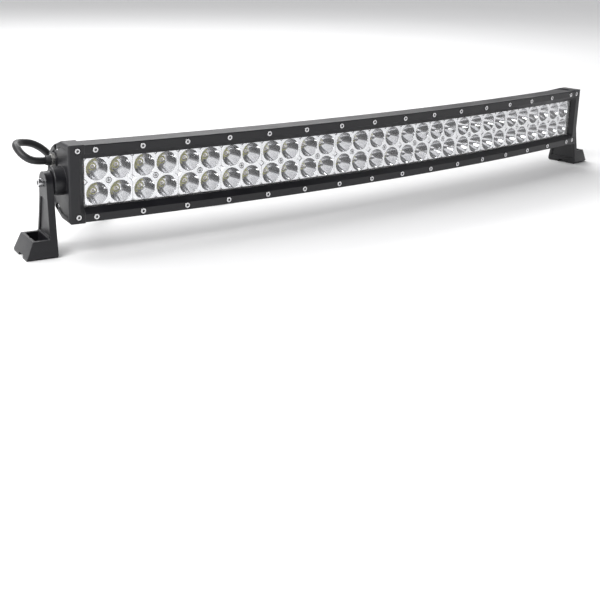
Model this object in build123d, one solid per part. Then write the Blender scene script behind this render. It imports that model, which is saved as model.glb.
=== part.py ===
from build123d import *
import os
from math import acos, atan2, cos, degrees, pi, radians, sin, sqrt

# Curved double-row LED light bar on two swivelling end brackets. Millimetres, Z up, the lamp shines
# towards -Y. Most pieces are drawn in a working frame whose origin is on the bezel face at the middle
# of the bar, level with the bracket pivots; the last step moves them to the part's own frame, whose
# origin is on the ground under the middle of the lamp.

# the bar
BEND_RADIUS = 3000      # the bezel face is an arc of this radius
END_ANGLE = 7.5         # half angle of that arc at the caps' outer faces
CAP_LENGTH = 15.5       # along the bar
CAP_HALF = 38.6         # half height of the end caps
HOUSING_STEP = 1.2      # the extrusion stands this far inside the caps' outline
BEZEL_HALF = 38.0
REAR_RADIUS = 34.5      # round back of the caps
REAR_CENTRE = 31.5      # depth of that round's centre behind the face
SHOULDER_DEPTH = 25     # the flat top ends here and slopes down to the round back
CAP_WALL = 3.0

# front opening, as depths behind the face and half heights
BEZEL_THICK = 6
CHAMFER_OUTER = 29.8
CHAMFER_INNER = 24.1
CHAMFER_DEPTH = 4.0
CHAMFER_WIDTH = 5.0
LENS_FRONT = 4.5
LENS_BACK = 7.5
LENS_HALF = 29.4
LEDGE_DEPTH = 9.0
TRAY_HALF = 25.2
FLOOR_FRONT = 24.6
FLOOR_BACK = 28.6
LENS_END = 12.5         # lens ends this far inside a cap's outer face

# light modules
MODULES = 15
MODULE_PITCH = 50
MODULE_WIDTH = 49.7
MODULE_HALF = 24.7
CUP_OFFSET = 12.1
CUP_RADIUS = 11
CUP_BASE_RADIUS = 4.1
CUP_MID_RADIUS = 8.6
RIM_DEPTH = 8.8
CUP_BASE_DEPTH = 20.6
SHELL = 1.2
BOARD_FRONT = 22.5
BOARD_BACK = 24.1

# fasteners
BEZEL_SCREWS = 16       # in each of the two rows
SCREW_PITCH = 48.8
SCREW_HALF = 33.0
SCREW_R = 1.45
SCREW_HOLE_R = 1.5
HEAD_R = 2.75
HEAD_HIGH = 3.0
HEAD_HOLE_R = 3.1
HEAD_SINK = 2.2
CAP_SCREW_INSET = 9.2   # from the cap's outer face
CAP_SCREW_HALF = 32.6
SIDE_SCREW_DEPTH = 38
SIDE_SCREW_HALF = 29.5

# swivel brackets
PIVOT_HEIGHT = 71       # pivot axis above the ground
PIVOT_DEPTH = 24        # behind the face
BOSS_R = 14
BOSS_LENGTH = 10.2
WASHER_THICK = 0.8
RUN_GAP = 0.05          # between the bracket and the clamped faces beside it
BRACKET_INNER = BOSS_LENGTH + WASHER_THICK + RUN_GAP
BRACKET_OUTER = 18
BOLT_R = 2.5
BOLT_HOLE_R = 2.57
BOLT_HEAD_R = 4.25
BOLT_HEAD_HIGH = 5
CROWN_HIGH = 10.5       # top of the arm above the pivot
CHEEK = 3.4             # width of the arm's rims and of the foot's walls
RECESS_DEEP = 1.4
FOOT_REACH = 42         # end of the foot on the ground, from the cap's outer face
FOOT_TOP_REACH = 35
FOOT_HIGH = 18
FOOT_FRONT = 2.8        # depths of the foot's two ground edges
FOOT_REAR = 47.4
FOOT_CHAMFER = 3.6
FOOT_FLOOR = 7.5
FOOT_HOLE_R = 4.25
FOOT_HOLE_REACH = 29
FOOT_HOLE_DEPTH = 23.5
NOTCH_HIGH = 3
NOTCH_WIDE = 12.4

# power cable
CABLE_D = 7.5
GLAND_DEPTH = 45
GLAND_UP = 16

DEPTH_MID = 45.07       # middle of the lamp's depth, without its cable

# route of the cable in the part's own frame, from the gland's mouth to the connector
CABLE_ROUTE = [
    (-393.64, 26.26, 87.0), (-404.54, 27.7, 87.0), (-413.05, 33.1, 92.1), (-415.4, 42.3, 98.3),
    (-412.5, 52.9, 100.8), (-403.7, 60.4, 100.2), (-391.2, 63.2, 97.9), (-377.6, 66.7, 90.2),
    (-364.0, 70.7, 76.2), (-350.0, 75.0, 58.5), (-333.0, 80.5, 38.0), (-312.0, 86.5, 18.5),
    (-287.0, 91.0, 3.75), (-258.0, 92.0, 3.75), (-228.0, 88.5, 5.5), (-199.0, 84.8, 7.5),
    (-179.0, 84.0, 7.5),
]

BEND_AXIS = Axis((0, BEND_RADIUS, 0), (0, 0, 1))
PART_FRAME = Location((0, -DEPTH_MID, PIVOT_HEIGHT))
BIG = 400


def station(arc):
    """Frame on the bezel face at an arc length from the middle: X along the bar, Y to the rear."""
    turn = arc / BEND_RADIUS
    place = (BEND_RADIUS * sin(turn), BEND_RADIUS * (1 - cos(turn)), 0)
    return Location(place, (0, 0, degrees(turn)))


END_ARC = BEND_RADIUS * radians(END_ANGLE)
RIGHT_END = station(END_ARC)


def at_right(shape):
    return RIGHT_END * shape


def at_left(shape):
    return mirror(RIGHT_END * shape, about=Plane.YZ)


def rear_section(profile):
    """Stand a sketch of (depth, height) up in the YZ plane."""
    return Plane.YZ * profile


def bent(profile, inset):
    """Carry a (depth, height) profile along the bar's curve, cut square inset short of the caps' faces."""
    start = rear_section(profile).rotate(BEND_AXIS, -END_ANGLE)
    bar = revolve(start, BEND_AXIS, 2 * END_ANGLE)
    waste = Pos(BIG / 2 - inset, 0, 0) * Box(BIG, BIG, BIG)
    return bar - at_right(waste) - at_left(waste)


def strip(depth_a, depth_b, low, high):
    """Rectangle between two depths and two heights."""
    middle = Pos((depth_a + depth_b) / 2, (low + high) / 2)
    return middle * Rectangle(depth_b - depth_a, high - low)


def both(profile):
    return profile + mirror(profile, about=Plane.XZ)


def lamp_outline(step):
    """Outline of the lamp seen along the bar: flat top, sloping shoulder and round back."""
    half = CAP_HALF - step
    radius = REAR_RADIUS - step
    away = (SHOULDER_DEPTH - REAR_CENTRE, half)
    distance = sqrt(away[0] ** 2 + away[1] ** 2)
    angle = atan2(away[1], away[0]) - acos(radius / distance)
    touch = (REAR_CENTRE + radius * cos(angle), radius * sin(angle))
    edges = Polyline((step, 0), (step, half), (SHOULDER_DEPTH, half), touch)
    edges += ThreePointArc(touch, (REAR_CENTRE + radius, 0), (touch[0], -touch[1]))
    edges += Polyline((touch[0], -touch[1]), (SHOULDER_DEPTH, -half), (step, -half), (step, 0))
    return make_face(edges)


def along(shape):
    """Turn a shape drawn on Z so that it points along +X."""
    return Rot(0, 90, 0) * shape


def rearward(shape):
    """Turn a shape drawn on Z so that it points along +Y."""
    return Rot(-90, 0, 0) * shape


def rod(radius, start, end):
    """Cylinder on Z between two heights."""
    return Pos(0, 0, (start + end) / 2) * Cylinder(radius, end - start)


def socket_screw(shank_r, head_r, head_high, key, shank):
    """Cap screw on Z: the head's top at Z 0, the shank running to +Z."""
    body = rod(head_r, 0, head_high) + rod(shank_r, head_high, head_high + shank)
    body = fillet(body.edges().group_by(Axis.Z)[0], 0.35)
    hexagon = RegularPolygon(key / 2 / cos(pi / 6), 6)
    return body - extrude(hexagon, head_high * 0.55)


def bezel_screw_frames():
    for side in (1, -1):
        for k in range(BEZEL_SCREWS):
            arc = (k - (BEZEL_SCREWS - 1) / 2) * SCREW_PITCH
            yield station(arc) * Pos(0, 0, side * SCREW_HALF)


def module_frames():
    for k in range(MODULES):
        yield station((k - (MODULES - 1) / 2) * MODULE_PITCH)


# housing: the finned extrusion that everything is screwed to

def housing():
    outline = lamp_outline(HOUSING_STEP)
    profile = outline - strip(-1, BEZEL_THICK, -BIG, BIG)
    profile -= strip(0, LEDGE_DEPTH, -CHAMFER_OUTER, CHAMFER_OUTER)
    profile -= strip(0, FLOOR_FRONT, -TRAY_HALF, TRAY_HALF)
    profile -= both(strip(18.5, 28.5, 28, 34.4))
    driver_channel = strip(FLOOR_BACK, 43, -20, 20)
    profile -= driver_channel
    for row in range(-3, 4):
        profile -= Pos(47.5 + 20, row * 7.2) * SlotOverall(40, 4.4)
    for side in (1, -1):
        profile -= Pos(45 + 20, side * 28.8) * SlotOverall(40, 4.4)
    body = bent(profile, CAP_LENGTH + 1)
    rails = bent(both(strip(BEZEL_THICK, 17, 30, 35)), 3.6)
    body += rails
    for frame in bezel_screw_frames():
        body -= frame * rearward(rod(SCREW_HOLE_R, 0, 17))
    for frame in module_frames():
        body -= frame * rearward(rod(SCREW_HOLE_R, FLOOR_FRONT - 1, FLOOR_BACK + 1))
    for side in (1, -1):
        corner = Pos(-CAP_SCREW_INSET, 0, side * CAP_SCREW_HALF) * rearward(rod(SCREW_HOLE_R, 0, 15))
        end = Pos(0, SIDE_SCREW_DEPTH, side * SIDE_SCREW_HALF) * along(rod(SCREW_HOLE_R, -32, 0))
        for tool in (corner, end):
            body -= at_right(tool)
            body -= at_left(tool)
    return body


# bezel strips, lens and lens gasket

def bezel(side):
    points = [
        (0, CHAMFER_OUTER), (0, BEZEL_HALF), (BEZEL_THICK, BEZEL_HALF), (BEZEL_THICK, CHAMFER_OUTER),
        (LENS_FRONT, CHAMFER_OUTER), (LENS_FRONT, CHAMFER_INNER), (CHAMFER_DEPTH, CHAMFER_INNER),
    ]
    profile = make_face(Polyline(points, close=True))
    corner = profile.vertices().sort_by(Axis.Y)[-2:].sort_by(Axis.X)[0]
    profile = fillet(corner, 1.0)
    if side < 0:
        profile = mirror(profile, about=Plane.XZ)
    body = bent(profile, CAP_LENGTH + 0.1)
    for frame in bezel_screw_frames():
        if frame.position.Z * side > 0:
            body -= frame * rearward(rod(SCREW_HOLE_R, -1, BEZEL_THICK + 1))
            body -= frame * rearward(rod(HEAD_HOLE_R, -1, HEAD_SINK))
    return body


def lens():
    return bent(strip(LENS_FRONT, LENS_BACK, -LENS_HALF, LENS_HALF), LENS_END)


def lens_gasket():
    outer = bent(strip(LENS_BACK, LEDGE_DEPTH, -LENS_HALF, LENS_HALF), LENS_END + 0.2)
    return outer - bent(strip(LENS_BACK - 1, LEDGE_DEPTH + 1, -25.8, 25.8), CAP_LENGTH - 0.1)


# end caps: drawn with X outward from the cap's outer face, Y to the rear, Z up

def end_cap(gland):
    body = extrude(rear_section(lamp_outline(0)), -CAP_LENGTH)
    body = fillet(body.faces().sort_by(Axis.X)[-1].edges(), 2.0)
    dish = rear_section(offset(lamp_outline(0), -5))
    body -= extrude(dish, 5) + extrude(dish, -1.2, taper=40)
    wide = Plane.XZ * (Pos(-CAP_LENGTH - 20 + CHAMFER_WIDTH, 0) * RectangleRounded(40, 2 * CHAMFER_OUTER, 6))
    narrow = Plane.XZ.offset(-LENS_FRONT) * (
        Pos(-CAP_LENGTH - 20, 0) * RectangleRounded(40, 2 * CHAMFER_INNER, 3)
    )
    body -= loft([wide.face(), narrow.face()])
    seat = rear_section(strip(LENS_FRONT, LEDGE_DEPTH + 0.1, -CHAMFER_OUTER, CHAMFER_OUTER))
    body -= extrude(Pos(-LENS_END + 0.2, 0, 0) * seat, -CAP_LENGTH)
    pocket = offset(lamp_outline(0), -CAP_WALL) & strip(LEDGE_DEPTH + 2, 100, -BIG, BIG)
    pocket += both(strip(BEZEL_THICK, 17.2, 29.8, 35.2))
    inside = extrude(Pos(-CAP_WALL - 0.2, 0, 0) * rear_section(pocket), -CAP_LENGTH)
    inside -= Pos(0, PIVOT_DEPTH, 0) * along(rod(8, -10, 0))
    for side in (1, -1):
        inside -= Pos(0, SIDE_SCREW_DEPTH, side * SIDE_SCREW_HALF) * along(rod(4, -BIG, 0))
    body -= inside
    boss = Pos(0, PIVOT_DEPTH, 0) * along(rod(BOSS_R, -1.2, BOSS_LENGTH))
    boss = fillet(boss.edges().group_by(Axis.X)[-1], 1.5)
    body += boss
    body -= Pos(0, PIVOT_DEPTH, 0) * along(rod(BOLT_HOLE_R, -9, BOSS_LENGTH + 1))
    for side in (1, -1):
        corner = rearward(rod(SCREW_HOLE_R, -1, BEZEL_THICK + 1) + rod(HEAD_HOLE_R + 0.5, -1, 3.4))
        body -= Pos(-CAP_SCREW_INSET, 0, side * CAP_SCREW_HALF) * corner
        end = along(rod(SCREW_HOLE_R, -CAP_LENGTH - 1, 0) + rod(HEAD_HOLE_R + 0.5, -4.4, 1))
        body -= Pos(0, SIDE_SCREW_DEPTH, side * SIDE_SCREW_HALF) * end
    if gland:
        body += Pos(0, GLAND_DEPTH, GLAND_UP) * along(rod(8, -CAP_WALL, 0))
        body -= Pos(0, GLAND_DEPTH, GLAND_UP) * along(rod(5.0, -CAP_WALL - 1, 1))
    return body


def cap_gasket():
    """Sheet gasket: a bar behind the lens ledge, a window for the tray, two for the rails, one for the back."""
    sheet = offset(lamp_outline(0), -HOUSING_STEP - 0.1) & strip(LEDGE_DEPTH + 0.2, 100, -BIG, BIG)
    sheet -= offset(lamp_outline(0), -CAP_WALL) & strip(19.2, 100, -BIG, BIG)
    sheet -= strip(LEDGE_DEPTH + 2, 20, -TRAY_HALF, TRAY_HALF)
    sheet -= both(strip(0, 17.2, 29.8, 35.2))
    return extrude(Pos(-CAP_LENGTH, 0, 0) * rear_section(sheet), -1)


# light modules: drawn with X along the bar, Y to the rear, Z up

def cup_centres():
    for x in (-CUP_OFFSET, CUP_OFFSET):
        for z in (-CUP_OFFSET, CUP_OFFSET):
            yield x, z


def cup_solid(extra):
    """Dish of a reflector cup on Z, widened by extra, from the rim to the LED."""
    middle = (RIM_DEPTH + CUP_BASE_DEPTH) / 2 + 1.2
    wall = ThreePointArc(
        (CUP_RADIUS + extra, RIM_DEPTH), (CUP_MID_RADIUS + extra, middle), (CUP_BASE_RADIUS + extra, CUP_BASE_DEPTH)
    )
    back = Polyline(
        (CUP_BASE_RADIUS + extra, CUP_BASE_DEPTH), (0, CUP_BASE_DEPTH), (0, RIM_DEPTH), (CUP_RADIUS + extra, RIM_DEPTH)
    )
    return revolve(Plane.XZ * make_face(wall + back), Axis.Z)


def reflector():
    plate_thick = 1.6
    width = MODULE_WIDTH
    body = Pos(0, RIM_DEPTH + plate_thick / 2, 0) * Box(width, plate_thick, 2 * MODULE_HALF)
    skirt_end = 14
    skirt = Pos(0, (RIM_DEPTH + skirt_end) / 2, 0) * Box(width, skirt_end - RIM_DEPTH, 2 * MODULE_HALF)
    body += skirt - Pos(0, 20, 0) * Box(width - 2 * SHELL, 40, 2 * (MODULE_HALF - SHELL))
    cups = [Pos(x, 0, z) for x, z in cup_centres()]
    for place in cups:
        body += place * rearward(cup_solid(SHELL * 0.9))
    body += rearward(rod(3.4, RIM_DEPTH, BOARD_FRONT))
    for place in cups:
        body -= place * rearward(cup_solid(0))
    body -= rearward(rod(1.6, 0, 30) + rod(3.0, 0, RIM_DEPTH + 1.5))
    return body


def led_board():
    thick = BOARD_BACK - BOARD_FRONT
    board = Pos(0, BOARD_FRONT + thick / 2, 0) * Box(49, thick, 50)
    return board - rearward(rod(1.7, 0, 30))


def thermal_pad():
    thick = FLOOR_FRONT - BOARD_BACK
    pad = Pos(0, BOARD_BACK + thick / 2, 0) * Box(47, thick, 46)
    return pad - rearward(rod(2.2, 0, 30))


def led_emitter():
    return rearward(rod(3.7, CUP_BASE_DEPTH + 0.2, BOARD_FRONT))


def led_dome():
    base = CUP_BASE_DEPTH + 0.2
    return Pos(0, base, 0) * (Sphere(2.8) - Pos(0, 5, 0) * Box(10, 10, 10))


def reflector_screw():
    head = rod(2.8, RIM_DEPTH - 0.2, RIM_DEPTH + 1.5)
    head = fillet(head.edges().group_by(Axis.Z)[0], 0.8)
    slot = Pos(0, 0, RIM_DEPTH) * Box(0.8, 3.2, 1.6)
    head -= slot + Rot(0, 0, 90) * slot
    return rearward(head + rod(SCREW_R, RIM_DEPTH + 1.5, FLOOR_BACK))


def on_every_module(piece):
    return Compound(children=[frame * piece for frame in module_frames()])


def on_every_cup(piece):
    places = list(cup_centres())
    return Compound(children=[f * Pos(x, 0, z) * piece for f in module_frames() for x, z in places])


# driver electronics in the channel behind the mounting floor

def driver_board():
    return Pos(0, 33.8, 0) * Box(180, 1.6, 36)


def driver_components():
    top = 34.6
    places = [-70, -45, -15, 15, 45, 70]
    parts = []
    for k, x in enumerate(places):
        if k % 2:
            parts.append(Pos(x, 0, 8) * rearward(rod(4, top, top + 7)))
        else:
            parts.append(Pos(x, top + 3, -6) * Box(13, 6, 13))
    return Compound(children=parts)


def supply_leads():
    leads = []
    for z in (-8, 8):
        lead = bent(Pos(40.5, z) * Circle(0.9), 6)
        leads.append(lead & Pos(-BIG / 2 - 91, 0, 0) * Box(BIG, BIG, BIG))
    return Compound(children=leads)


# screws

def bezel_screws():
    screw = socket_screw(SCREW_R, HEAD_R, HEAD_HIGH, 2.5, 12)
    place = rearward(Pos(0, 0, HEAD_SINK - HEAD_HIGH) * screw)
    return Compound(children=[frame * place for frame in bezel_screw_frames()])


def on_both_caps(piece):
    return [at_right(piece), at_left(piece)]


def cap_front_screws():
    screw = rearward(Pos(0, 0, 3.4 - HEAD_HIGH) * socket_screw(SCREW_R, HEAD_R, HEAD_HIGH, 2.5, 11))
    parts = []
    for side in (1, -1):
        parts += on_both_caps(Pos(-CAP_SCREW_INSET, 0, side * CAP_SCREW_HALF) * screw)
    return Compound(children=parts)


def cap_side_screws():
    screw = Rot(0, -90, 0) * Pos(0, 0, 4.4 - HEAD_HIGH) * socket_screw(SCREW_R, HEAD_R, HEAD_HIGH, 2.5, 25)
    parts = []
    for side in (1, -1):
        parts += on_both_caps(Pos(0, SIDE_SCREW_DEPTH, side * SIDE_SCREW_HALF) * screw)
    return Compound(children=parts)


# swivel brackets, bolts and washers

def bracket_outline(inset):
    """Outline of the arm and foot seen along the bar, as (depth, height above the pivot), narrowed by inset."""
    ground = -PIVOT_HEIGHT
    crown = (PIVOT_DEPTH, CROWN_HIGH - inset)
    rear = [(35.5, 0), (36.2, -14), (39.7, -33), (45.0, -55), (FOOT_REAR, ground)]
    front = [(12.5, 0), (11.3, -14), (8.4, -36), (4.8, -58), (FOOT_FRONT, ground)]
    rear = [(x - inset, z) for x, z in rear]
    front = [(x + inset, z) for x, z in front]
    edges = ThreePointArc(front[0], crown, rear[0]) + Line(rear[0], rear[1]) + ThreePointArc(*rear[1:4])
    edges += Polyline(rear[3], rear[4], front[4], front[3]) + ThreePointArc(*front[3:0:-1])
    edges += Line(front[1], front[0])
    return make_face(edges)


def bracket():
    """An arm with a shallow recess in its outer face, on a box foot with a slanted end and a bolt pocket."""
    ground = -PIVOT_HEIGHT
    top = ground + FOOT_HIGH
    side = [
        (BRACKET_INNER, BIG), (BRACKET_OUTER, BIG), (BRACKET_OUTER, top + 1), (BRACKET_OUTER + 1, top),
        (FOOT_TOP_REACH, top), (FOOT_REACH, ground + 1.5), (FOOT_REACH, ground), (BRACKET_INNER, ground),
    ]
    body = extrude(rear_section(bracket_outline(0)), BIG)
    body &= extrude(Plane.XZ.offset(-BIG / 2) * make_face(Polyline(side, close=True)), BIG)
    recess = bracket_outline(CHEEK) & strip(0, 100, top + 2, -15)
    recess = fillet(recess.vertices().group_by(Axis.Y)[-1], 3)
    body -= extrude(Pos(BRACKET_OUTER - RECESS_DEEP, 0, 0) * rear_section(recess), BIG)
    inner = bracket_outline(CHEEK + 0.6) & strip(0, 100, ground + FOOT_FLOOR, -17)
    body -= extrude(Pos(BRACKET_INNER, 0, 0) * rear_section(inner), RECESS_DEEP)
    pocket = [
        (BRACKET_OUTER + 0.5, top + 1), (FOOT_TOP_REACH - CHEEK, top + 1), (FOOT_REACH - CHEEK - 1.5, ground + FOOT_FLOOR),
        (BRACKET_OUTER + 0.5, ground + FOOT_FLOOR),
    ]
    pocket = extrude(Plane.XZ.offset(-(FOOT_FRONT + CHEEK + 3)) * make_face(Polyline(pocket, close=True)),
                     -(FOOT_REAR - FOOT_FRONT - 2 * CHEEK - 6))
    body -= pocket
    notch = Pos(0, FOOT_HOLE_DEPTH, ground) * Box(BIG, NOTCH_WIDE, 2 * NOTCH_HIGH)
    body -= notch
    for edge in (FOOT_FRONT, FOOT_REAR):
        corner = Rot(45, 0, 0) * Box(BIG, FOOT_CHAMFER, FOOT_CHAMFER)
        body -= Pos(0, edge, ground) * corner
    body -= Pos(0, PIVOT_DEPTH, 0) * along(rod(BOLT_HOLE_R, 0, 30))
    body -= Pos(FOOT_HOLE_REACH, FOOT_HOLE_DEPTH, 0) * rod(FOOT_HOLE_R, ground - 1, ground + 20)
    return body


def pivot_bolts():
    length = BRACKET_OUTER + RUN_GAP + 8
    screw = socket_screw(BOLT_R, BOLT_HEAD_R, BOLT_HEAD_HIGH, 4, length)
    screw = Pos(BRACKET_OUTER + RUN_GAP + BOLT_HEAD_HIGH, PIVOT_DEPTH, 0) * Rot(0, -90, 0) * screw
    return Compound(children=on_both_caps(screw))


def pivot_washers():
    ring = rod(9, BOSS_LENGTH, BOSS_LENGTH + WASHER_THICK) - rod(BOLT_HOLE_R, 0, 30)
    return Compound(children=on_both_caps(Pos(0, PIVOT_DEPTH, 0) * along(ring)))


# cable gland on the left cap

def gland_nut():
    hexagon = extrude(RegularPolygon(6.4, 6), 3) - rod(CABLE_D / 2 + 0.9, -1, 10)
    return at_left(Pos(0, GLAND_DEPTH, GLAND_UP) * along(hexagon))


def gland_seal():
    base = CABLE_D / 2
    outline = Polyline(
        (base, -6), (base + 2.2, -6), (base + 2.2, -CAP_WALL - 0.3), (base + 0.9, -CAP_WALL - 0.3),
        (base + 0.9, 3), (base + 1.6, 3.05), (base + 1.4, 4.4), (base + 0.6, 8), (base, 8), close=True
    )
    ring = revolve(Plane.XZ * make_face(outline), Axis.Z)
    return at_left(Pos(0, GLAND_DEPTH, GLAND_UP) * along(ring))


# power cable and its connector, drawn in the part's own frame

def cable_radii():
    """Largest tangent arc that each corner's two runs allow."""
    points = [Vector(p) for p in CABLE_ROUTE]
    radii = []
    for a, b, c in zip(points, points[1:], points[2:]):
        turn = (b - a).get_angle(c - b)
        radii.append(0.45 * min((b - a).length, (c - b).length) / sin(radians(turn / 2)) * cos(radians(turn / 2)))
    return radii


def power_cable():
    path = FilletPolyline(*CABLE_ROUTE, radius=cable_radii())
    section = Plane(path @ 0, z_dir=path % 0) * Circle(CABLE_D / 2)
    tube = sweep(section, path=path)
    print("cable radii", [round(r, 1) for r in cable_radii()])
    print("cable length", round(path.length, 1), "volume ratio", tube.volume / (path.length * pi * CABLE_D ** 2 / 4))
    return tube


def cable_connector():
    """Two-way sealed plug: a body, a wedge lock end and a latch, lying along the cable's last run."""
    start, before = Vector(CABLE_ROUTE[-1]), Vector(CABLE_ROUTE[-2])
    frame = Plane(start, x_dir=Vector(0, 0, 1).cross(start - before), z_dir=start - before)
    boot = extrude(Circle(6.2), 8)
    body = Pos(0, 0, 8 + 13) * fillet(Box(15, 14, 26).edges().filter_by(Axis.Z), 2)
    nose = Pos(0, 0, 34 + 5) * fillet(Box(11.5, 11.5, 10).edges().filter_by(Axis.Z), 3)
    latch = Pos(0, 7.6, 22) * Box(5, 1.4, 14)
    plug = boot + body + nose + latch
    for side in (1, -1):
        plug -= Pos(side * 2.8, 0, 44 - 4) * Cylinder(1.6, 12)
    return frame.location * plug


def write(name, shape, framed=True):
    if framed:
        shape = PART_FRAME * shape
    export_step(shape, os.path.join("parts", name + ".step"))
    return shape


def main():
    os.makedirs("parts", exist_ok=True)
    pieces = {
        "housing": housing(),
        "bezel_top": bezel(1),
        "bezel_bottom": bezel(-1),
        "lens": lens(),
        "lens_gasket": lens_gasket(),
        "left_end_cap": at_left(end_cap(gland=True)),
        "right_end_cap": at_right(end_cap(gland=False)),
        "left_cap_gasket": at_left(cap_gasket()),
        "right_cap_gasket": at_right(cap_gasket()),
        "led_emitters": on_every_cup(led_emitter()),
        "led_domes": on_every_cup(led_dome()),
        "thermal_pads": on_every_module(thermal_pad()),
        "reflector_screws": on_every_module(reflector_screw()),
        "bezel_screws": bezel_screws(),
        "cap_front_screws": cap_front_screws(),
        "cap_side_screws": cap_side_screws(),
        "driver_board": driver_board(),
        "driver_components": driver_components(),
        "supply_leads": supply_leads(),
        "gland_nut": gland_nut(),
        "gland_seal": gland_seal(),
        "pivot_bolts": pivot_bolts(),
        "pivot_washers": pivot_washers(),
        "left_bracket": at_left(bracket()),
        "right_bracket": at_right(bracket()),
    }
    mould, board = reflector(), led_board()
    for k, frame in enumerate(module_frames(), start=1):
        pieces[f"reflector_{k:02}"] = frame * mould
        pieces[f"led_board_{k:02}"] = frame * board
    placed = [write(name, shape) for name, shape in pieces.items()]
    box = Compound(children=placed).bounding_box()
    print("lamp box", box.min, box.max, "middle of its depth is off by", round(box.center().Y, 3))
    write("power_cable", power_cable(), framed=False)
    write("cable_connector", cable_connector(), framed=False)


main()
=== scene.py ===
from math import cos, hypot, pi, radians, sin

import bmesh
import bpy
from mathutils import Matrix, Vector
from mathutils.geometry import delaunay_2d_cdt


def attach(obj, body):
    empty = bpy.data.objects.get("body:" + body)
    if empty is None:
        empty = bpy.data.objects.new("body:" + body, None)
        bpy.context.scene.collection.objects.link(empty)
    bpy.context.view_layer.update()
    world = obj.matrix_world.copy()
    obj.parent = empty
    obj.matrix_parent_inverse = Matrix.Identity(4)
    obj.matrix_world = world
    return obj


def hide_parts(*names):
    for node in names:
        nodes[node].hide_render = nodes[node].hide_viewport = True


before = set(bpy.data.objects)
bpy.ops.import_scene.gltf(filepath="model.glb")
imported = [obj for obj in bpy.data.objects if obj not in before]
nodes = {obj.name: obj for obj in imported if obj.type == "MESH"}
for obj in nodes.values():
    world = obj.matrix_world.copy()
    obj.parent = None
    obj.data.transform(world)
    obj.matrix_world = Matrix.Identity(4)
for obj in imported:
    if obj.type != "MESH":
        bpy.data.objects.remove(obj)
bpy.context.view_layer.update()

# ---------------------------------------------------------------------------------------------------
# Studio: a plain pale floor under an even ceiling scrim, with one large softbox on the left, a weak one
# in front on the right and a strip behind. The room is grey in front, so that bright metal shows contrast.
# ---------------------------------------------------------------------------------------------------

FLOOR_SIZE = 60.0
FLOOR_WHITE = (0.90, 0.90, 0.90, 1.0)
FLOOR_HIGH_WHITE = (0.93, 0.93, 0.93, 1.0)
CEILING_GREY = (0.16, 0.16, 0.17, 1.0)
CLOTH_GREY = (0.24, 0.24, 0.25, 1.0)
SCRIM_STRENGTH = 1.5
SCRIM_SPREAD = radians(50)
CAMERA_PLACE = (-0.8187, -0.8895, 0.3116)
CAMERA_YAW = radians(39.214)
CAMERA_PITCH = radians(15.196)
CAMERA_ROLL = radians(1.937)
CAMERA_LENS = 61.74
CAMERA_SHIFT = -0.15


def plain_material(name, colour, roughness, metallic=0.0):
    """A material with its Principled shader set to plain values, and that shader."""
    material = bpy.data.materials.new(name)
    material.use_nodes = True
    shader = material.node_tree.nodes["Principled BSDF"]
    shader.inputs["Base Color"].default_value = colour
    shader.inputs["Roughness"].default_value = roughness
    shader.inputs["Metallic"].default_value = metallic
    return material, shader


def wire(material, output, target):
    material.node_tree.links.new(output, target)


def object_point(material):
    """The surface point in the piece's own axes, in metres, for patterns of real size."""
    return material.node_tree.nodes.new("ShaderNodeTexCoord").outputs["Object"]


def noise(material, point, scale, detail=2.0, roughness=0.5):
    node = material.node_tree.nodes.new("ShaderNodeTexNoise")
    node.inputs["Scale"].default_value = scale
    node.inputs["Detail"].default_value = detail
    node.inputs["Roughness"].default_value = roughness
    wire(material, point, node.inputs["Vector"])
    return node.outputs["Fac"]


def mesh_piece(name, mesh, *materials):
    """A new object for a mesh, with its materials."""
    piece = bpy.data.objects.new(name, mesh)
    bpy.context.scene.collection.objects.link(piece)
    for material in materials:
        if material.name not in mesh.materials:
            mesh.materials.append(material)
    return piece


def softbox(name, place, target, width, height, power):
    light = bpy.data.lights.new(name, "AREA")
    light.shape = "RECTANGLE"
    light.size = width
    light.size_y = height
    light.energy = power
    lamp = bpy.data.objects.new(name, light)
    bpy.context.scene.collection.objects.link(lamp)
    lamp.location = place
    aim = Vector(target) - Vector(place)
    lamp.rotation_euler = aim.to_track_quat("-Z", "Y").to_euler()
    return lamp


floor_coat, floor_shader = plain_material("floor_paper", FLOOR_WHITE, 0.9)
floor_tone = floor_coat.node_tree.nodes.new("ShaderNodeMix")
floor_tone.data_type = "RGBA"
floor_tone.inputs["A"].default_value = FLOOR_WHITE
floor_tone.inputs["B"].default_value = FLOOR_HIGH_WHITE
wire(floor_coat, noise(floor_coat, object_point(floor_coat), 3.0), floor_tone.inputs["Factor"])
wire(floor_coat, floor_tone.outputs["Result"], floor_shader.inputs["Base Color"])
floor_mesh = bpy.data.meshes.new("floor")
half = FLOOR_SIZE / 2
floor_corners = [(-half, -half, 0), (half, -half, 0), (half, half, 0), (-half, half, 0)]
floor_mesh.from_pydata(floor_corners, [], [(0, 1, 2, 3)])
floor = mesh_piece("floor", floor_mesh, floor_coat)

room = bpy.data.worlds.new("studio")
room.use_nodes = True
bpy.context.scene.world = room
room_tree = room.node_tree
backdrop = room_tree.nodes["Background"]
direction = room_tree.nodes.new("ShaderNodeTexCoord").outputs["Generated"]
height = room_tree.nodes.new("ShaderNodeSeparateXYZ")
room_tree.links.new(direction, height.inputs["Vector"])
ceiling = room_tree.nodes.new("ShaderNodeValToRGB")
ceiling.color_ramp.elements[0].position = 0.10
ceiling.color_ramp.elements[0].color = (1.0, 1.0, 1.0, 1.0)
ceiling.color_ramp.elements[1].position = 0.45
ceiling.color_ramp.elements[1].color = CEILING_GREY
room_tree.links.new(height.outputs["Z"], ceiling.inputs["Fac"])
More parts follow.
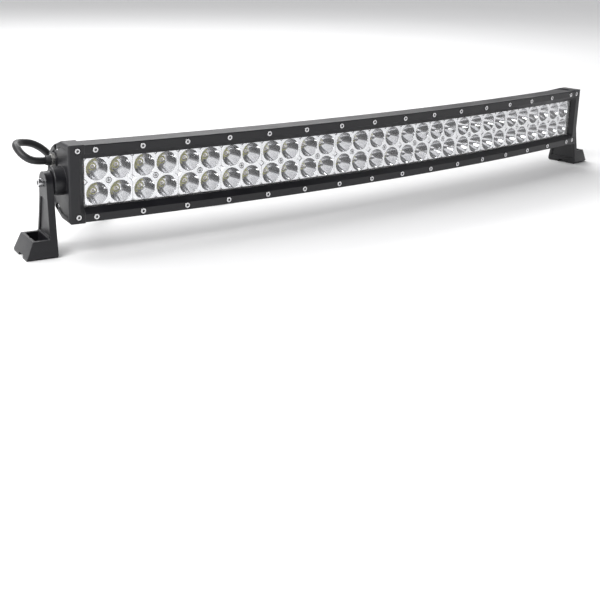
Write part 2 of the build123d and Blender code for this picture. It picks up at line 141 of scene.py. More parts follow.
# the half of the room in front of the lamp hangs in grey cloth, the rear half is white
cloth = room_tree.nodes.new("ShaderNodeValToRGB")
cloth.color_ramp.elements[0].position = 0.30
cloth.color_ramp.elements[0].color = CLOTH_GREY
cloth.color_ramp.elements[1].position = 0.60
cloth.color_ramp.elements[1].color = (1.0, 1.0, 1.0, 1.0)
depth_share = room_tree.nodes.new("ShaderNodeMath")
depth_share.operation = "MULTIPLY_ADD"
depth_share.inputs[1].default_value = 0.5
depth_share.inputs[2].default_value = 0.5
room_tree.links.new(height.outputs["Y"], depth_share.inputs[0])
room_tree.links.new(depth_share.outputs["Value"], cloth.inputs["Fac"])
room_tone = room_tree.nodes.new("ShaderNodeMix")
room_tone.data_type = "RGBA"
room_tone.blend_type = "MULTIPLY"
room_tone.inputs["Factor"].default_value = 1.0
room_tree.links.new(ceiling.outputs["Color"], room_tone.inputs["A"])
room_tree.links.new(cloth.outputs["Color"], room_tone.inputs["B"])
room_tree.links.new(room_tone.outputs["Result"], backdrop.inputs["Color"])
backdrop.inputs["Strength"].default_value = 1.0

softbox("key_softbox", (-1.6, -0.4, 1.4), (0, 0, 0.05), 1.2, 1.2, 34)
softbox("fill_softbox", (1.9, -1.6, 1.1), (0, 0, 0.05), 0.9, 0.5, 5)
softbox("rear_strip", (0.4, 1.7, 1.5), (0, 0, 0.05), 2.2, 0.6, 30)
scrim_light = bpy.data.lights.new("ceiling_scrim", "SUN")
scrim_light.energy = SCRIM_STRENGTH
scrim_light.angle = SCRIM_SPREAD
scrim = bpy.data.objects.new("ceiling_scrim", scrim_light)
bpy.context.scene.collection.objects.link(scrim)
scrim.rotation_euler = Vector((0.25, -0.45, -1.0)).to_track_quat("-Z", "Y").to_euler()

camera_data = bpy.data.cameras.new("camera")
camera_data.lens = CAMERA_LENS
camera_data.sensor_width = 36.0
camera_data.shift_y = CAMERA_SHIFT
camera_data.dof.use_dof = False
camera_data.clip_start = 0.01
camera_data.clip_end = 100.0
camera = bpy.data.objects.new("camera", camera_data)
bpy.context.scene.collection.objects.link(camera)
turn = Matrix.Rotation(-CAMERA_YAW, 4, "Z") @ Matrix.Rotation(pi / 2 - CAMERA_PITCH, 4, "X")
camera.matrix_world = Matrix.Translation(CAMERA_PLACE) @ turn @ Matrix.Rotation(CAMERA_ROLL, 4, "Z")
bpy.context.scene.camera = camera
bpy.context.scene.view_settings.view_transform = "Standard"

# ---------------------------------------------------------------------------------------------------
# Housing: one finned aluminium extrusion, bent to the bar's curve and powder coated black. The coat is
# a fine satin texture; its corners are painted a lighter grey, partly rubbed coat and partly a painted edge
# highlight.
# ---------------------------------------------------------------------------------------------------


def shader_group(name, inputs, outputs):
    """An empty shader node group with its named sockets, and its two end nodes."""
    tree = bpy.data.node_groups.new(name, "ShaderNodeTree")
    for socket, kind, value in inputs:
        made = tree.interface.new_socket(name=socket, in_out="INPUT", socket_type=kind)
        made.default_value = value
    for socket, kind in outputs:
        tree.interface.new_socket(name=socket, in_out="OUTPUT", socket_type=kind)
    return tree, tree.nodes.new("NodeGroupInput"), tree.nodes.new("NodeGroupOutput")


def tree_noise(tree, point, scale, detail):
    node = tree.nodes.new("ShaderNodeTexNoise")
    node.inputs["Detail"].default_value = detail
    tree.links.new(point, node.inputs["Vector"])
    if isinstance(scale, (int, float)):
        node.inputs["Scale"].default_value = scale
    else:
        tree.links.new(scale, node.inputs["Scale"])
    return node.outputs["Fac"]


def tree_math(tree, operation, first, second):
    node = tree.nodes.new("ShaderNodeMath")
    node.operation = operation
    for value, socket in zip((first, second), node.inputs):
        if isinstance(value, (int, float)):
            socket.default_value = value
        else:
            tree.links.new(value, socket)
    return node.outputs["Value"]


def tree_range(tree, value, from_low, from_high, low, high):
    node = tree.nodes.new("ShaderNodeMapRange")
    sockets = ("Value", "From Min", "From Max", "To Min", "To Max")
    for given, name in zip((value, from_low, from_high, low, high), sockets):
        if isinstance(given, (int, float)):
            node.inputs[name].default_value = given
        else:
            tree.links.new(given, node.inputs[name])
    return node.outputs["Result"]


def tree_blend(tree, factor, first, second):
    node = tree.nodes.new("ShaderNodeMix")
    node.data_type = "RGBA"
    tree.links.new(factor, node.inputs["Factor"])
    for value, socket in zip((first, second), (node.inputs["A"], node.inputs["B"])):
        if isinstance(value, tuple):
            socket.default_value = value
        else:
            tree.links.new(value, socket)
    return node.outputs["Result"]


# the grain: a fine pebbled skin, with slow changes of tone and of gloss over the piece
grain, grain_in, grain_out = shader_group(
    "coat_grain",
    [("Tone", "NodeSocketColor", (0.02, 0.02, 0.02, 1)),
     ("High Tone", "NodeSocketColor", (0.03, 0.03, 0.03, 1)),
     ("Grain Scale", "NodeSocketFloat", 1500.0), ("Gloss", "NodeSocketFloat", 0.35),
     ("Gloss Spread", "NodeSocketFloat", 0.1)],
    [("Color", "NodeSocketColor"), ("Roughness", "NodeSocketFloat"), ("Height", "NodeSocketFloat")],
)
grain_point = grain.nodes.new("ShaderNodeTexCoord").outputs["Object"]
pebbles = grain.nodes.new("ShaderNodeTexVoronoi")
grain.links.new(grain_point, pebbles.inputs["Vector"])
grain.links.new(grain_in.outputs["Grain Scale"], pebbles.inputs["Scale"])
fine = tree_noise(grain, grain_point, grain_in.outputs["Grain Scale"], 3.0)
slow = tree_noise(grain, grain_point, 28.0, 4.0)
height_sum = tree_math(grain, "SUBTRACT", fine, tree_math(grain, "MULTIPLY", pebbles.outputs["Distance"], 0.6))
grain.links.new(height_sum, grain_out.inputs["Height"])
tone_mask = tree_math(grain, "MULTIPLY", tree_range(grain, slow, 0.35, 0.65, 0.0, 1.0), fine)
grain_tone = tree_blend(grain, tone_mask, grain_in.outputs["Tone"], grain_in.outputs["High Tone"])
grain.links.new(grain_tone, grain_out.inputs["Color"])
least_gloss = tree_math(grain, "SUBTRACT", grain_in.outputs["Gloss"], grain_in.outputs["Gloss Spread"])
most_gloss = tree_math(grain, "ADD", grain_in.outputs["Gloss"], grain_in.outputs["Gloss Spread"])
grain.links.new(tree_range(grain, slow, 0.3, 0.7, least_gloss, most_gloss), grain_out.inputs["Roughness"])

# the edges: a rounded normal at every corner, and a broken mask that paints the corners lighter, partly as
# rubbed coat and partly as a painted edge highlight
edges, edges_in, edges_out = shader_group(
    "edge_rub_and_highlight",
    [("Round", "NodeSocketFloat", 0.0005), ("Rub", "NodeSocketFloat", 0.5)],
    [("Mask", "NodeSocketFloat"), ("Normal", "NodeSocketVector")],
)
rounded = edges.nodes.new("ShaderNodeBevel")
rounded.samples = 6
edges.links.new(edges_in.outputs["Round"], rounded.inputs["Radius"])
flat_normal = edges.nodes.new("ShaderNodeNewGeometry").outputs["Normal"]
agreement = edges.nodes.new("ShaderNodeVectorMath")
agreement.operation = "DOT_PRODUCT"
edges.links.new(rounded.outputs["Normal"], agreement.inputs[0])
edges.links.new(flat_normal, agreement.inputs[1])
corner = tree_range(edges, agreement.outputs["Value"], 0.97, 0.75, 0.0, 1.0)
patchy = tree_noise(edges, edges.nodes.new("ShaderNodeTexCoord").outputs["Object"], 160.0, 5.0)
rub_and_highlight = tree_math(edges, "MULTIPLY", tree_range(edges, patchy, 0.4, 0.65, 0.35, 1.0), edges_in.outputs["Rub"])
edges.links.new(tree_math(edges, "MULTIPLY", corner, rub_and_highlight), edges_out.inputs["Mask"])
edges.links.new(rounded.outputs["Normal"], edges_out.inputs["Normal"])


def placed_group(material, tree, **values):
    """A shader group set into a material, with its inputs set by name."""
    node = material.node_tree.nodes.new("ShaderNodeGroup")
    node.node_tree = tree
    for name, value in values.items():
        node.inputs[name.replace("_", " ")].default_value = value
    return node


def coat_material(name, tone, high_tone, gloss, grain_scale, depth, rub_and_highlight, round_off, edge_wear_and_highlight_colour):
    """Textured coat or moulded skin: grain and tone from one group, corner rub and painted edge highlight from
    the other.
    """
    material, shader = plain_material(name, tone, gloss)
    skin = placed_group(
        material, grain, Tone=tone, High_Tone=high_tone, Grain_Scale=grain_scale, Gloss=gloss, Gloss_Spread=0.07
    )
    corners = placed_group(material, edges, Round=round_off, Rub=rub_and_highlight)
    # painted highlight: the corners take a lighter colour, standing in partly for rubbed coat and partly for
    # the edge highlight
    colour = tree_blend(material.node_tree, corners.outputs["Mask"], skin.outputs["Color"], edge_wear_and_highlight_colour)
    wire(material, colour, shader.inputs["Base Color"])
    wire(material, skin.outputs["Roughness"], shader.inputs["Roughness"])
    bump = material.node_tree.nodes.new("ShaderNodeBump")
    bump.inputs["Strength"].default_value = 0.6
    bump.inputs["Distance"].default_value = depth
    wire(material, skin.outputs["Height"], bump.inputs["Height"])
    wire(material, corners.outputs["Normal"], bump.inputs["Normal"])
    wire(material, bump.outputs["Normal"], shader.inputs["Normal"])
    return material, shader


def finish_node(name, material):
    """Give a CAD node its finish: one material over all of it."""
    slots = nodes[name].data.materials
    for place in range(len(slots)):
        slots[place] = material


# the lighter grey painted at coated corners: partly rubbed coat, partly a painted edge highlight
EDGE_WEAR_AND_HIGHLIGHT_COAT = (0.16, 0.16, 0.165, 1.0)

housing_coat, _ = coat_material(
    "housing_black_coat", (0.010, 0.010, 0.012, 1), (0.020, 0.020, 0.023, 1), 0.42, 1900.0, 0.00006, 0.5,
    0.0006, EDGE_WEAR_AND_HIGHLIGHT_COAT
)
finish_node("housing", housing_coat)

# ---------------------------------------------------------------------------------------------------
# Driver: a green circuit board in the channel behind the mounting floor, with its coils, capacitors
# and two silicone leads to the cable.
# ---------------------------------------------------------------------------------------------------

solder_mask, _ = coat_material(
    "driver_solder_mask", (0.01, 0.10, 0.035, 1), (0.02, 0.16, 0.06, 1), 0.35, 700.0, 0.00003, 0.2, 0.0003,
    (0.30, 0.28, 0.14, 1)
)
component_case, _ = coat_material(
    "driver_component_case", (0.03, 0.03, 0.035, 1), (0.06, 0.06, 0.07, 1), 0.4, 900.0, 0.00004, 0.3, 0.0003,
    (0.2, 0.2, 0.2, 1)
)
lead_jacket, _ = coat_material(
    "lead_silicone", (0.25, 0.012, 0.01, 1), (0.33, 0.02, 0.016, 1), 0.5, 1200.0, 0.00003, 0.1, 0.0002,
    (0.3, 0.04, 0.03, 1)
)
finish_node("driver_board", solder_mask)
finish_node("driver_components", component_case)
finish_node("supply_leads", lead_jacket)

# ---------------------------------------------------------------------------------------------------
# Light boards: fifteen white-masked aluminium boards on grey thermal pads, each with four LEDs. An LED
# is a round package with a yellow phosphor face, a white well and a clear silicone dome over the die.
# ---------------------------------------------------------------------------------------------------

white_mask, _ = coat_material(
    "board_white_mask", (0.70, 0.70, 0.69, 1), (0.78, 0.78, 0.77, 1), 0.35, 900.0, 0.00002, 0.2, 0.0002,
    (0.55, 0.50, 0.38, 1)
)
pad_grey, _ = coat_material(
    "thermal_pad_grey", (0.20, 0.20, 0.22, 1), (0.27, 0.27, 0.29, 1), 0.8, 500.0, 0.0001, 0.1, 0.0002,
    (0.3, 0.3, 0.3, 1)
)
MODULES = 15
for count in range(1, MODULES + 1):
    finish_node(f"led_board_{count:02}", white_mask)
finish_node("thermal_pads", pad_grey)

# the bar's own curve, on which every module sits: an arc on the bezel face, seen from above
BEND_RADIUS = 3.000
FACE_DEPTH = -0.04507
PIVOT_HEIGHT = 0.071
MODULE_PITCH = 0.050
CUP_OFFSET = 0.0121
LED_DEPTH = 0.0206


def on_bar(arc):
    """Frame on the bezel face at an arc length from the middle: X along the bar, Y to the rear, Z up."""
    angle = arc / BEND_RADIUS
    place = Vector((BEND_RADIUS * sin(angle), BEND_RADIUS * (1 - cos(angle)) + FACE_DEPTH, PIVOT_HEIGHT))
    return Matrix.Translation(place) @ Matrix.Rotation(angle, 4, "Z")


def module_place(count):
    return on_bar((count - (MODULES + 1) / 2) * MODULE_PITCH)


def cup_places():
    for x in (-CUP_OFFSET, CUP_OFFSET):
        for z in (-CUP_OFFSET, CUP_OFFSET):
            yield Vector((x, 0, z))


def turned(mesh, profile, steps, centre=Vector((0, 0, 0)), material=0, smooth=True, phase=0.0):
    """Add a turned skin to a bmesh: a profile of (radius, depth) about the line along Y through centre.
    A radius of nothing closes on one point."""
    rings = []
    for radius, depth in profile:
        if radius == 0:
            rings.append([mesh.verts.new(centre + Vector((0, depth, 0)))])
            continue
        angles = [phase + 2 * pi * k / steps for k in range(steps)]
        rings.append([
            mesh.verts.new(centre + Vector((radius * cos(a), depth, radius * sin(a)))) for a in angles
        ])
    for inner, outer in zip(rings, rings[1:]):
        for k in range(steps):
            after = (k + 1) % steps
            corners = [
                inner[k % len(inner)], inner[after % len(inner)],
                outer[after % len(outer)], outer[k % len(outer)],
            ]
            corners = [c for n, c in enumerate(corners) if c not in corners[:n]]
            face = mesh.faces.new(corners)
            face.material_index = material
            face.smooth = smooth
    return rings


phosphor, _ = coat_material(
    "led_phosphor", (0.70, 0.67, 0.22, 1), (0.82, 0.80, 0.36, 1), 0.38, 2500.0, 0.00002, 0.15, 0.0002,
    (0.86, 0.84, 0.55, 1)
)
well, _ = coat_material(
    "led_white_well", (0.84, 0.78, 0.78, 1), (0.93, 0.88, 0.88, 1), 0.22, 2500.0, 0.00001, 0.1, 0.0001,
    (0.95, 0.92, 0.92, 1)
)
led_skin = bmesh.new()
for place in cup_places():
    # die and its phosphor drop, then the sloping white well, then the phosphor face and its rounded rim
    turned(led_skin, [(0, 0.02072), (0.0005, 0.02074), (0.00095, 0.0208)], 28, place, 0)
    turned(led_skin, [(0.00095, 0.0208), (0.0011, 0.02092), (0.0019, 0.02088), (0.0027, 0.02062)], 28, place, 1)
    turned(
        led_skin,
        [(0.0027, 0.02062), (0.0029, 0.02052), (0.0033, 0.0205), (0.0037, 0.02056), (0.00395, 0.0208),
         (0.004, 0.0214), (0.004, 0.0225)],
        28, place, 0,
    )
led_mesh = bpy.data.meshes.new("led_face")
led_skin.to_mesh(led_mesh)
led_skin.free()


def joined(name, mesh, places, *materials):
    """One piece holding a copy of a mesh at every place."""
    whole = bmesh.new()
    for place in places:
        part = mesh.copy()
        part.transform(place)
        whole.from_mesh(part)
        bpy.data.meshes.remove(part)
    made = bpy.data.meshes.new(name)
    whole.to_mesh(made)
    whole.free()
    return mesh_piece(name, made, *materials)


every_module = [module_place(count) for count in range(1, MODULES + 1)]
led_faces = joined("led_packages", led_mesh, every_module, phosphor, well)
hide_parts("led_emitters")
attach(led_faces, "lamp")

DOME_RADIUS = 0.0028
dome_skin = bmesh.new()
dome_steps = 9
dome_profile = [
    (DOME_RADIUS * sin(pi / 2 * k / dome_steps), 0.0206 - DOME_RADIUS * cos(pi / 2 * k / dome_steps))
    for k in range(dome_steps + 1)
]
for place in cup_places():
    turned(dome_skin, dome_profile, 28, place)
dome_mesh = bpy.data.meshes.new("led_dome")
dome_skin.to_mesh(dome_mesh)
dome_skin.free()
silicone, silicone_shader = plain_material("dome_silicone", (1.0, 0.985, 0.97, 1), 0.05)
silicone_shader.inputs["Transmission Weight"].default_value = 1.0
silicone_shader.inputs["IOR"].default_value = 1.41
silicone_haze = tree_range(
    silicone.node_tree, noise(silicone, object_point(silicone), 900.0, 3.0), 0.3, 0.7, 0.02, 0.09
)
wire(silicone, silicone_haze, silicone_shader.inputs["Roughness"])
domes = joined("led_silicone_domes", dome_mesh, every_module, silicone)
domes.visible_shadow = False
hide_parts("led_domes")
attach(domes, "lamp")

# ---------------------------------------------------------------------------------------------------
# Reflector modules: fifteen moulded plates, vacuum metallised, each with four parabolic cups. The three
# at either end are the flood kind, with rows of small pillows over the cups; the nine between are smooth.
# Small bevelled pockets lie between the cups at the edges, and one screw in the middle holds the plate.
# ---------------------------------------------------------------------------------------------------

PLATE_DEPTH = 0.0088
PLATE_X = 0.02485
PLATE_Z = 0.0247
EDGE_ROUND = 0.0003
CUP_MOUTH = 0.0110
CUP_LIP = 0.01132
CUP_BASE = 0.0041
SKIRT_END = 0.0140
POCKET_HALF = 0.0035
POCKET_FLOOR_HALF = 0.0026
POCKET_DEPTH = 0.0007
SCREW_WELL = 0.0033
PILLOW_ROWS = 10
PILLOWS_ROUND = 60
PILLOW_PARTS = 3
PILLOW_HIGH = 0.00006
FLOOD_MODULES = (1, 2, 3, 13, 14, 15)


def cup_depth(radius):
    """Depth of the parabola whose focus lies on the LED, from the base ring to the mouth."""
    share = (radius ** 2 - CUP_BASE ** 2) / (CUP_MOUTH ** 2 - CUP_BASE ** 2)
    return LED_DEPTH - share * (LED_DEPTH - PLATE_DEPTH - 0.0003)


def pillow(share):
    """Height of a pillow across one of its sides."""
    return sin(pi * (share % 1.0)) if share % 1.0 else 0.0


def cup_rings(flood):
    """Rings of a cup from its lip to its base, each a list of (x, depth, z) about the cup's own line."""
    steps = PILLOWS_ROUND * PILLOW_PARTS if flood else 96
    rows = PILLOW_ROWS * PILLOW_PARTS if flood else 20
    lip = [(CUP_LIP, PLATE_DEPTH), (0.01118, PLATE_DEPTH + 0.00003), (0.01106, PLATE_DEPTH + 0.00012)]
    rings = [
        [(r * cos(2 * pi * k / steps), d, r * sin(2 * pi * k / steps)) for k in range(steps)] for r, d in lip
    ]
    for row in range(rows + 1):
        radius = CUP_MOUTH + (CUP_BASE - CUP_MOUTH) * row / rows
        slope = -2 * radius / (CUP_MOUTH ** 2 - CUP_BASE ** 2) * (LED_DEPTH - PLATE_DEPTH - 0.0003)
        size = hypot(1, slope)
        ring = []
        for k in range(steps):
            rise = 0.0
            if flood:
                around = k / PILLOW_PARTS + (row // PILLOW_PARTS) % 2 / 2
                rise = PILLOW_HIGH * pillow(row / PILLOW_PARTS) * pillow(around)
            here = radius + slope / size * rise
            angle = 2 * pi * k / steps
            ring.append((here * cos(angle), cup_depth(radius) - rise / size, here * sin(angle)))
        rings.append(ring)
    return rings


def plate_loops():
    """The plate's flat parts as closed or open lines of (x, z, depth), with the lines that bound them."""
    a, b = PLATE_X - EDGE_ROUND, PLATE_Z - EDGE_ROUND
    outer, floor_half = POCKET_HALF - EDGE_ROUND, POCKET_FLOOR_HALF - EDGE_ROUND
    low = PLATE_DEPTH + POCKET_DEPTH
    rim = []
    corners = [(1, -1), (1, 1), (-1, 1), (-1, -1)]
    for n, (sx, sz) in enumerate(corners):
        nx, nz = corners[(n + 1) % 4]
        rim.append((sx * a, sz * b, low))
        along_z = sx == nx
        span, step = (b, nz) if along_z else (a, nx)
        for value, depth in (
            (-span + floor_half, low), (-span + outer, PLATE_DEPTH), (-outer, PLATE_DEPTH), (-floor_half, low),
            (floor_half, low), (outer, PLATE_DEPTH), (span - outer, PLATE_DEPTH), (span - floor_half, low),
        ):
            rim.append((sx * a, step * value, depth) if along_z else (step * value, sz * b, depth))
    pockets = []
    for sign in (1, -1):
        pockets.append([(sign * (a - outer), 0, PLATE_DEPTH), (sign * (a - floor_half), 0, low)])
        pockets.append([(0, sign * (b - outer), PLATE_DEPTH), (0, sign * (b - floor_half), low)])
    return rim, pockets


def module_plate(name, flood):
    """One reflector moulding, in its own frame on the bar."""
    moulding = bmesh.new()
    rim, pockets = plate_loops()
    points, lines = list(rim), [(k, (k + 1) % len(rim)) for k in range(len(rim))]
    for apex, floor_apex in pockets:
        for tip in (apex, floor_apex):
            start = len(points)
            points.append(tip)
            reach = [
                n for n, (x, z, depth) in enumerate(rim)
                if depth == tip[2] and abs(abs(x - tip[0]) - abs(z - tip[1])) < 1e-7
                and hypot(x - tip[0], z - tip[1]) < 0.006
            ]
            lines += [(start, n) for n in reach]
    # the cut across each corner pocket joins a point on one edge to its mate on the next
    side, end = PLATE_X - EDGE_ROUND, PLATE_Z - EDGE_ROUND
    for n, (x, z, depth) in enumerate(rim):
        if abs(abs(x) - side) >= 1e-9 or abs(abs(z) - end) <= 1e-9 or PLATE_Z - abs(z) >= 0.004:
            continue
        for m, (x2, z2, depth2) in enumerate(rim):
            same_corner = x * x2 > 0 and z * z2 > 0 and depth == depth2
            on_end = abs(abs(z2) - end) < 1e-9 and abs(x2) < side - 1e-9
            cut = abs((PLATE_X - abs(x2)) - (PLATE_Z - abs(z))) < 1e-7
            if same_corner and on_end and cut:
                lines.append((n, m))
    mouths = []
    rings = cup_rings(flood)
    for place in cup_places():
        start = len(points)
        loop = [(x + place.x, z + place.z, PLATE_DEPTH) for x, _, z in rings[0]]
        points += loop
        lines += [(start + k, start + (k + 1) % len(loop)) for k in range(len(loop))]
        mouths.append((place.x, place.z, CUP_LIP))
    start, steps = len(points), 48
    points += [
        (SCREW_WELL * cos(2 * pi * k / steps), SCREW_WELL * sin(2 * pi * k / steps), PLATE_DEPTH)
        for k in range(steps)
    ]
    lines += [(start + k, start + (k + 1) % steps) for k in range(steps)]
    mouths.append((0, 0, SCREW_WELL))
    flat = [Vector((x, z)) for x, z, _ in points]
    found, _, faces, origins, _, _ = delaunay_2d_cdt(flat, lines, [], 0, 1e-7)
    corners = [
        moulding.verts.new((at.x, points[source[0]][2] if source else PLATE_DEPTH, at.y))
        for at, source in zip(found, origins)
    ]
    for face in faces:
        centre = sum((found[k] for k in face), Vector((0, 0))) / len(face)
        if any(hypot(centre.x - x, centre.y - z) < radius * 0.999 for x, z, radius in mouths):
            continue
        moulding.faces.new([corners[k] for k in face])
    # the rounded outer edge and the skirt behind it
    shells = [(0.00005, 0.00006), (0.0003, 0.0003)]
    loops = [[Vector((x, depth, z)) for x, z, depth in rim]]
    for out, down in shells:
        a, b = PLATE_X - EDGE_ROUND, PLATE_Z - EDGE_ROUND
        step = EDGE_ROUND if out == shells[-1][0] else EDGE_ROUND * 0.75
        loops.append([
            Vector((x + (step if x > 0 else -step) * (abs(abs(x) - a) < 1e-9), depth + down,
                    z + (step if z > 0 else -step) * (abs(abs(z) - b) < 1e-9)))
            for x, z, depth in rim
        ])
    loops.append([Vector((p.x, SKIRT_END, p.z)) for p in loops[-1]])
    made = [[moulding.verts.new(p) for p in loop] for loop in loops]
    for upper, lower in zip(made, made[1:]):
        for k in range(len(upper)):
            after = (k + 1) % len(upper)
            moulding.faces.new((upper[k], upper[after], lower[after], lower[k]))
    # the cups, and the well that takes the screw's head
    for place in cup_places():
        skins = [[moulding.verts.new(Vector(p) + place) for p in ring] for ring in rings]
        for upper, lower in zip(skins, skins[1:]):
            for k in range(len(upper)):
                after = (k + 1) % len(upper)
                face = moulding.faces.new((upper[k], upper[after], lower[after], lower[k]))
                face.smooth = True
    turned(
        moulding,
        [(SCREW_WELL, PLATE_DEPTH), (0.00318, PLATE_DEPTH - 0.0001), (0.00306, PLATE_DEPTH), (0.00302, 0.0092),
         (0.00302, 0.0103), (0.0016, 0.0103)],
        steps,
    )
    bmesh.ops.remove_doubles(moulding, verts=moulding.verts, dist=2e-7)
    bmesh.ops.recalc_face_normals(moulding, faces=moulding.faces)
    made_mesh = bpy.data.meshes.new(name)
    moulding.to_mesh(made_mesh)
    moulding.free()
    return made_mesh


metallised, metallised_shader = plain_material("vacuum_metallised", (0.93, 0.93, 0.94, 1), 0.06, 1.0)
metal_point = object_point(metallised)
metal_gloss = tree_range(metallised.node_tree, noise(metallised, metal_point, 260.0, 4.0), 0.3, 0.7, 0.03, 0.10)
wire(metallised, metal_gloss, metallised_shader.inputs["Roughness"])
metal_tone = tree_blend(
    metallised.node_tree, noise(metallised, metal_point, 90.0, 3.0),
    (0.70, 0.70, 0.72, 1), (0.80, 0.80, 0.80, 1)
)
wire(metallised, metal_tone, metallised_shader.inputs["Base Color"])
metal_bump = metallised.node_tree.nodes.new("ShaderNodeBump")
metal_bump.inputs["Strength"].default_value = 0.25
metal_bump.inputs["Distance"].default_value = 0.00002
wire(metallised, noise(metallised, metal_point, 420.0, 2.0), metal_bump.inputs["Height"])
wire(metallised, metal_bump.outputs["Normal"], metallised_shader.inputs["Normal"])

spot_mould = module_plate("spot_reflector", False)
flood_mould = module_plate("flood_reflector", True)
for count in range(1, MODULES + 1):
    is_flood = count in FLOOD_MODULES
    kind = "flood" if is_flood else "spot"
    plate = mesh_piece(f"{kind}_reflector_{count:02}", flood_mould if is_flood else spot_mould, metallised)
    plate.matrix_world = module_place(count)
    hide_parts(f"reflector_{count:02}")
    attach(plate, "lamp")

# ---------------------------------------------------------------------------------------------------
# Screws: stainless throughout. Cross-head screws hold the reflectors; socket cap screws, sunk to most of
# their head, hold the bezels and the end caps. Turning leaves faint rings on the heads.
# ---------------------------------------------------------------------------------------------------

SOCKET_SHADE_REACH = 0.002
SOCKET_PAINTED_SHADE = (0.02, 0.02, 0.02, 1)


def steel_material(name, tone, high_tone, low_gloss, high_gloss):
    """Bare metal with turning marks, cloudy gloss and rounded corners, with painted shade inside its sockets.
    """
    material, shader = plain_material(name, tone, high_gloss, 1.0)
    point = object_point(material)
    tree = material.node_tree
    # painted shade: ambient occlusion turns the colour near black inside sockets and other tight recesses
    socket_shade_occlusion = tree.nodes.new("ShaderNodeAmbientOcclusion")
    socket_shade_occlusion.inputs["Distance"].default_value = SOCKET_SHADE_REACH
    unshaded_share = tree_range(tree, socket_shade_occlusion.outputs["AO"], 0.35, 0.75, 0.0, 1.0)
    metal = tree_blend(tree, noise(material, point, 350.0, 4.0), tone, high_tone)
    wire(material, tree_blend(tree, unshaded_share, SOCKET_PAINTED_SHADE, metal), shader.inputs["Base Color"])
    gloss = tree_range(tree, noise(material, point, 900.0, 5.0), 0.3, 0.7, low_gloss, high_gloss)
    wire(material, gloss, shader.inputs["Roughness"])
    corners = placed_group(material, edges, Round=0.0003, Rub=0.0)
    bump = tree.nodes.new("ShaderNodeBump")
    bump.inputs["Strength"].default_value = 0.3
    bump.inputs["Distance"].default_value = 0.00003
    wire(material, noise(material, point, 2600.0, 3.0), bump.inputs["Height"])
    wire(material, corners.outputs["Normal"], bump.inputs["Normal"])
    wire(material, bump.outputs["Normal"], shader.inputs["Normal"])
    return material


stainless = steel_material("stainless_screws", (0.60, 0.60, 0.61, 1), (0.78, 0.78, 0.79, 1), 0.16, 0.34)
for name in ("reflector_screws", "bezel_screws", "cap_front_screws", "cap_side_screws"):
    finish_node(name, stainless)

# ---------------------------------------------------------------------------------------------------
# Lens and its gasket: a bent strip of clear polycarbonate, three millimetres thick, on a black rubber
# frame gasket that lies on the housing's ledge.
# ---------------------------------------------------------------------------------------------------

rubber, _ = coat_material(
    "black_rubber", (0.012, 0.012, 0.013, 1), (0.022, 0.022, 0.024, 1), 0.62, 1300.0, 0.00008, 0.2, 0.0004,
    (0.06, 0.06, 0.06, 1)
)
finish_node("lens_gasket", rubber)
clear, clear_shader = plain_material("clear_polycarbonate", (0.985, 0.99, 0.995, 1), 0.0)
clear_shader.inputs["Transmission Weight"].default_value = 1.0
clear_shader.inputs["IOR"].default_value = 1.52
smears = tree_range(clear.node_tree, noise(clear, object_point(clear), 24.0, 5.0), 0.5, 0.8, 0.0, 0.02)
wire(clear, smears, clear_shader.inputs["Roughness"])
finish_node("lens", clear)
nodes["lens"].visible_shadow = False

# ---------------------------------------------------------------------------------------------------
# Bezels: two bent aluminium strips with the housing's black coat, bevelled towards the lens, that clamp
# it down with sixteen screws each.
# ---------------------------------------------------------------------------------------------------

bezel_coat, _ = coat_material(
    "bezel_black_coat", (0.006, 0.006, 0.008, 1), (0.012, 0.012, 0.015, 1), 0.38, 2100.0, 0.00005, 0.6,
    0.0006, EDGE_WEAR_AND_HIGHLIGHT_COAT
)
finish_node("bezel_top", bezel_coat)
finish_node("bezel_bottom", bezel_coat)

# ---------------------------------------------------------------------------------------------------
# End caps: die-cast aluminium, coated black a shade rougher than the strips, each over a sheet gasket.
# ---------------------------------------------------------------------------------------------------

cap_coat, _ = coat_material(
    "cap_black_coat", (0.006, 0.006, 0.008, 1), (0.014, 0.014, 0.017, 1), 0.40, 1500.0, 0.00008, 0.5,
    0.0008, EDGE_WEAR_AND_HIGHLIGHT_COAT
)
for side in ("left", "right"):
    finish_node(f"{side}_end_cap", cap_coat)
    finish_node(f"{side}_cap_gasket", rubber)

# ---------------------------------------------------------------------------------------------------
# Cable gland: a nickel-plated hexagon nut on the left cap, with a tapered rubber seal that grips the
# cable and relieves its bend.
# ---------------------------------------------------------------------------------------------------

nickel = steel_material("nickel_plate", (0.55, 0.54, 0.52, 1), (0.70, 0.69, 0.66, 1), 0.2, 0.4)
finish_node("gland_nut", nickel)
finish_node("gland_seal", rubber)

# ---------------------------------------------------------------------------------------------------
# Power cable: 0.32 m of black two-core rubber flex. It leaves the gland, turns back over the lamp's
# rear edge and down to the ground behind it, and ends in a sealed two-way connector.
# ---------------------------------------------------------------------------------------------------

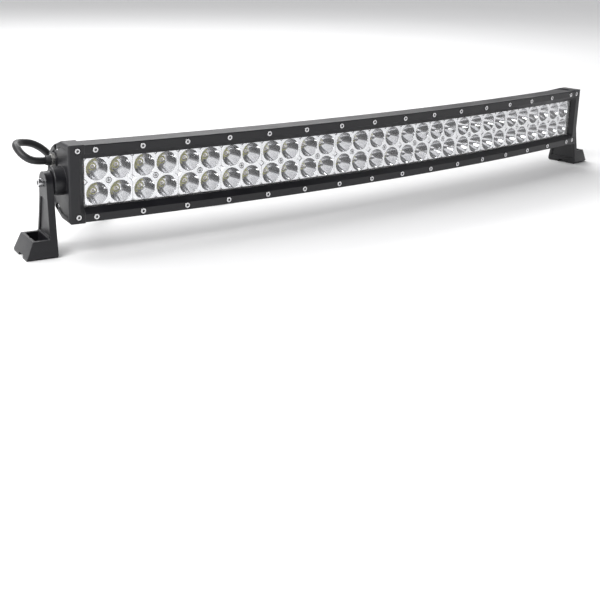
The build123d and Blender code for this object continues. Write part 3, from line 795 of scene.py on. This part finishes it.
CABLE_DIAMETER = 0.0075
CABLE_ROUTE = [
    (-0.39364, 0.02626, 0.08700), (-0.40454, 0.02770, 0.08700), (-0.41305, 0.03310, 0.09210),
    (-0.41540, 0.04230, 0.09830), (-0.41250, 0.05290, 0.10080), (-0.40370, 0.06040, 0.10020),
    (-0.39120, 0.06320, 0.09790), (-0.37760, 0.06670, 0.09020), (-0.36400, 0.07070, 0.07620),
    (-0.35000, 0.07500, 0.05850), (-0.33300, 0.08050, 0.03800), (-0.31200, 0.08650, 0.01850),
    (-0.28700, 0.09100, 0.00375), (-0.25800, 0.09200, 0.00375), (-0.22800, 0.08850, 0.00550),
    (-0.19900, 0.08480, 0.00750), (-0.17900, 0.08400, 0.00750),
]
jacket, _ = coat_material(
    "cable_jacket_rubber", (0.012, 0.012, 0.013, 1), (0.024, 0.024, 0.026, 1), 0.45, 1400.0, 0.00006, 0.1,
    0.0003, (0.05, 0.05, 0.05, 1)
)
cable_line = bpy.data.curves.new("power_cable_line", "CURVE")
cable_line.dimensions = "3D"
cable_line.bevel_depth = CABLE_DIAMETER / 2
cable_line.bevel_resolution = 6
cable_line.use_fill_caps = True
cable_line.resolution_u = 12
spline = cable_line.splines.new("NURBS")
spline.points.add(len(CABLE_ROUTE) - 1)
for point, place in zip(spline.points, CABLE_ROUTE):
    point.co = (*place, 1.0)
spline.order_u = 3
spline.use_endpoint_u = True
cable_line.materials.append(jacket)
cable = bpy.data.objects.new("power_cable_flex", cable_line)
bpy.context.scene.collection.objects.link(cable)
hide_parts("power_cable")
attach(cable, "lamp")

connector_plastic, _ = coat_material(
    "connector_plastic", (0.014, 0.014, 0.015, 1), (0.028, 0.028, 0.030, 1), 0.42, 1100.0, 0.00006, 0.3, 0.0004,
    (0.07, 0.07, 0.07, 1)
)
finish_node("cable_connector", connector_plastic)

# ---------------------------------------------------------------------------------------------------
# Swivel brackets: cast aluminium arms with a bolt foot, one at each end, coated black. A nylon washer
# lies between each and its cap, and one stainless socket bolt is both pivot and clamp.
# ---------------------------------------------------------------------------------------------------

bracket_coat, _ = coat_material(
    "bracket_black_coat", (0.007, 0.007, 0.009, 1), (0.016, 0.016, 0.019, 1), 0.4, 1300.0, 0.00009, 0.6,
    0.0008, EDGE_WEAR_AND_HIGHLIGHT_COAT
)
nylon, _ = coat_material(
    "washer_nylon", (0.02, 0.02, 0.022, 1), (0.04, 0.04, 0.043, 1), 0.5, 900.0, 0.00005, 0.2, 0.0003,
    (0.1, 0.1, 0.1, 1)
)
finish_node("left_bracket", bracket_coat)
finish_node("right_bracket", bracket_coat)
finish_node("pivot_washers", nylon)
finish_node("pivot_bolts", stainless)
